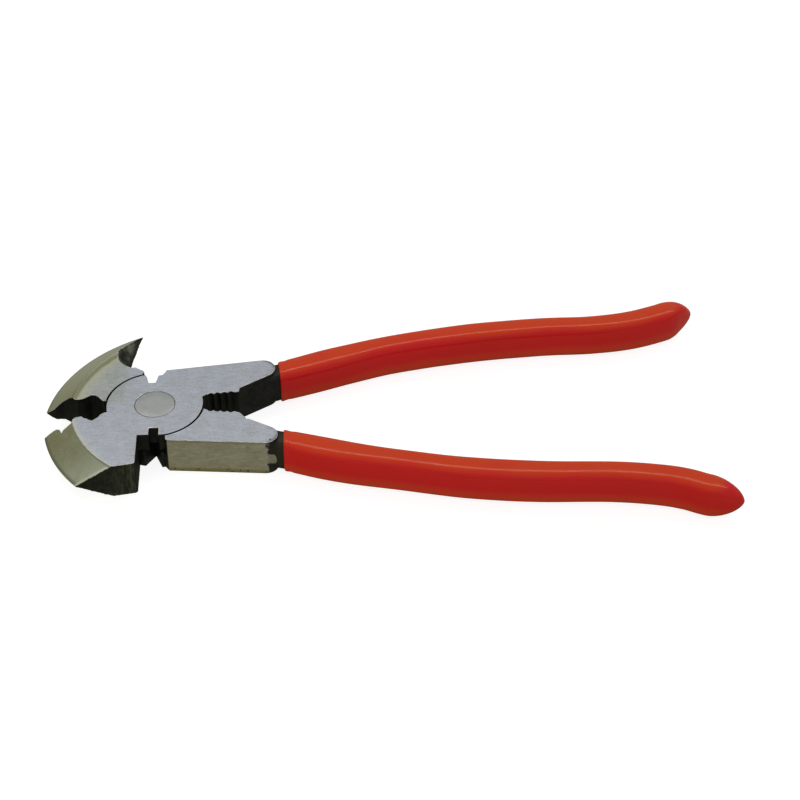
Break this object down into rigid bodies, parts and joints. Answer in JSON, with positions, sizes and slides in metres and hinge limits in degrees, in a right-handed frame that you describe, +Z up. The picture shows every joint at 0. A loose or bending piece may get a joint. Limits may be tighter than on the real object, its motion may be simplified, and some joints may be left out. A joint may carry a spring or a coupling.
{
  "type": "fencing pliers",
  "caption": "Fencing pliers with a hammer poll, a claw and spike, wire cutting slots, a toothed gripper and dipped grips on a lap joint.",
  "frame": {"origin": "on the rivet's axis, at the underside of the head, where the tool lies on a bench", "axes": "+X along the handles, away from the jaws; +Y towards the hammer half's handle; +Z up the rivet, across the head's thickness"},
  "size_m": [0.2618, 0.1195, 0.0156],
  "materials": {
    "ground_steel": "forged steel, ground and polished on the flats and bevels, black oxide elsewhere",
    "rivet_steel": "ground flush with the head",
    "red_vinyl": "glossy dipped vinyl"
  },
  "bodies": {
    "hammer_side": {"hammer_half": "ground_steel", "pivot_rivet": "rivet_steel", "hammer_half_grip": "red_vinyl"},
    "claw_side": {"claw_half": "ground_steel", "claw_half_grip": "red_vinyl"}
  },
  "joints": [
    {"name": "pivot", "type": "hinge", "parent": "hammer_side", "child": "claw_side", "pos_m": [0, 0, 0], "axis": [0, 0, 1], "range_deg": [-22, 18.5]}
  ]
}
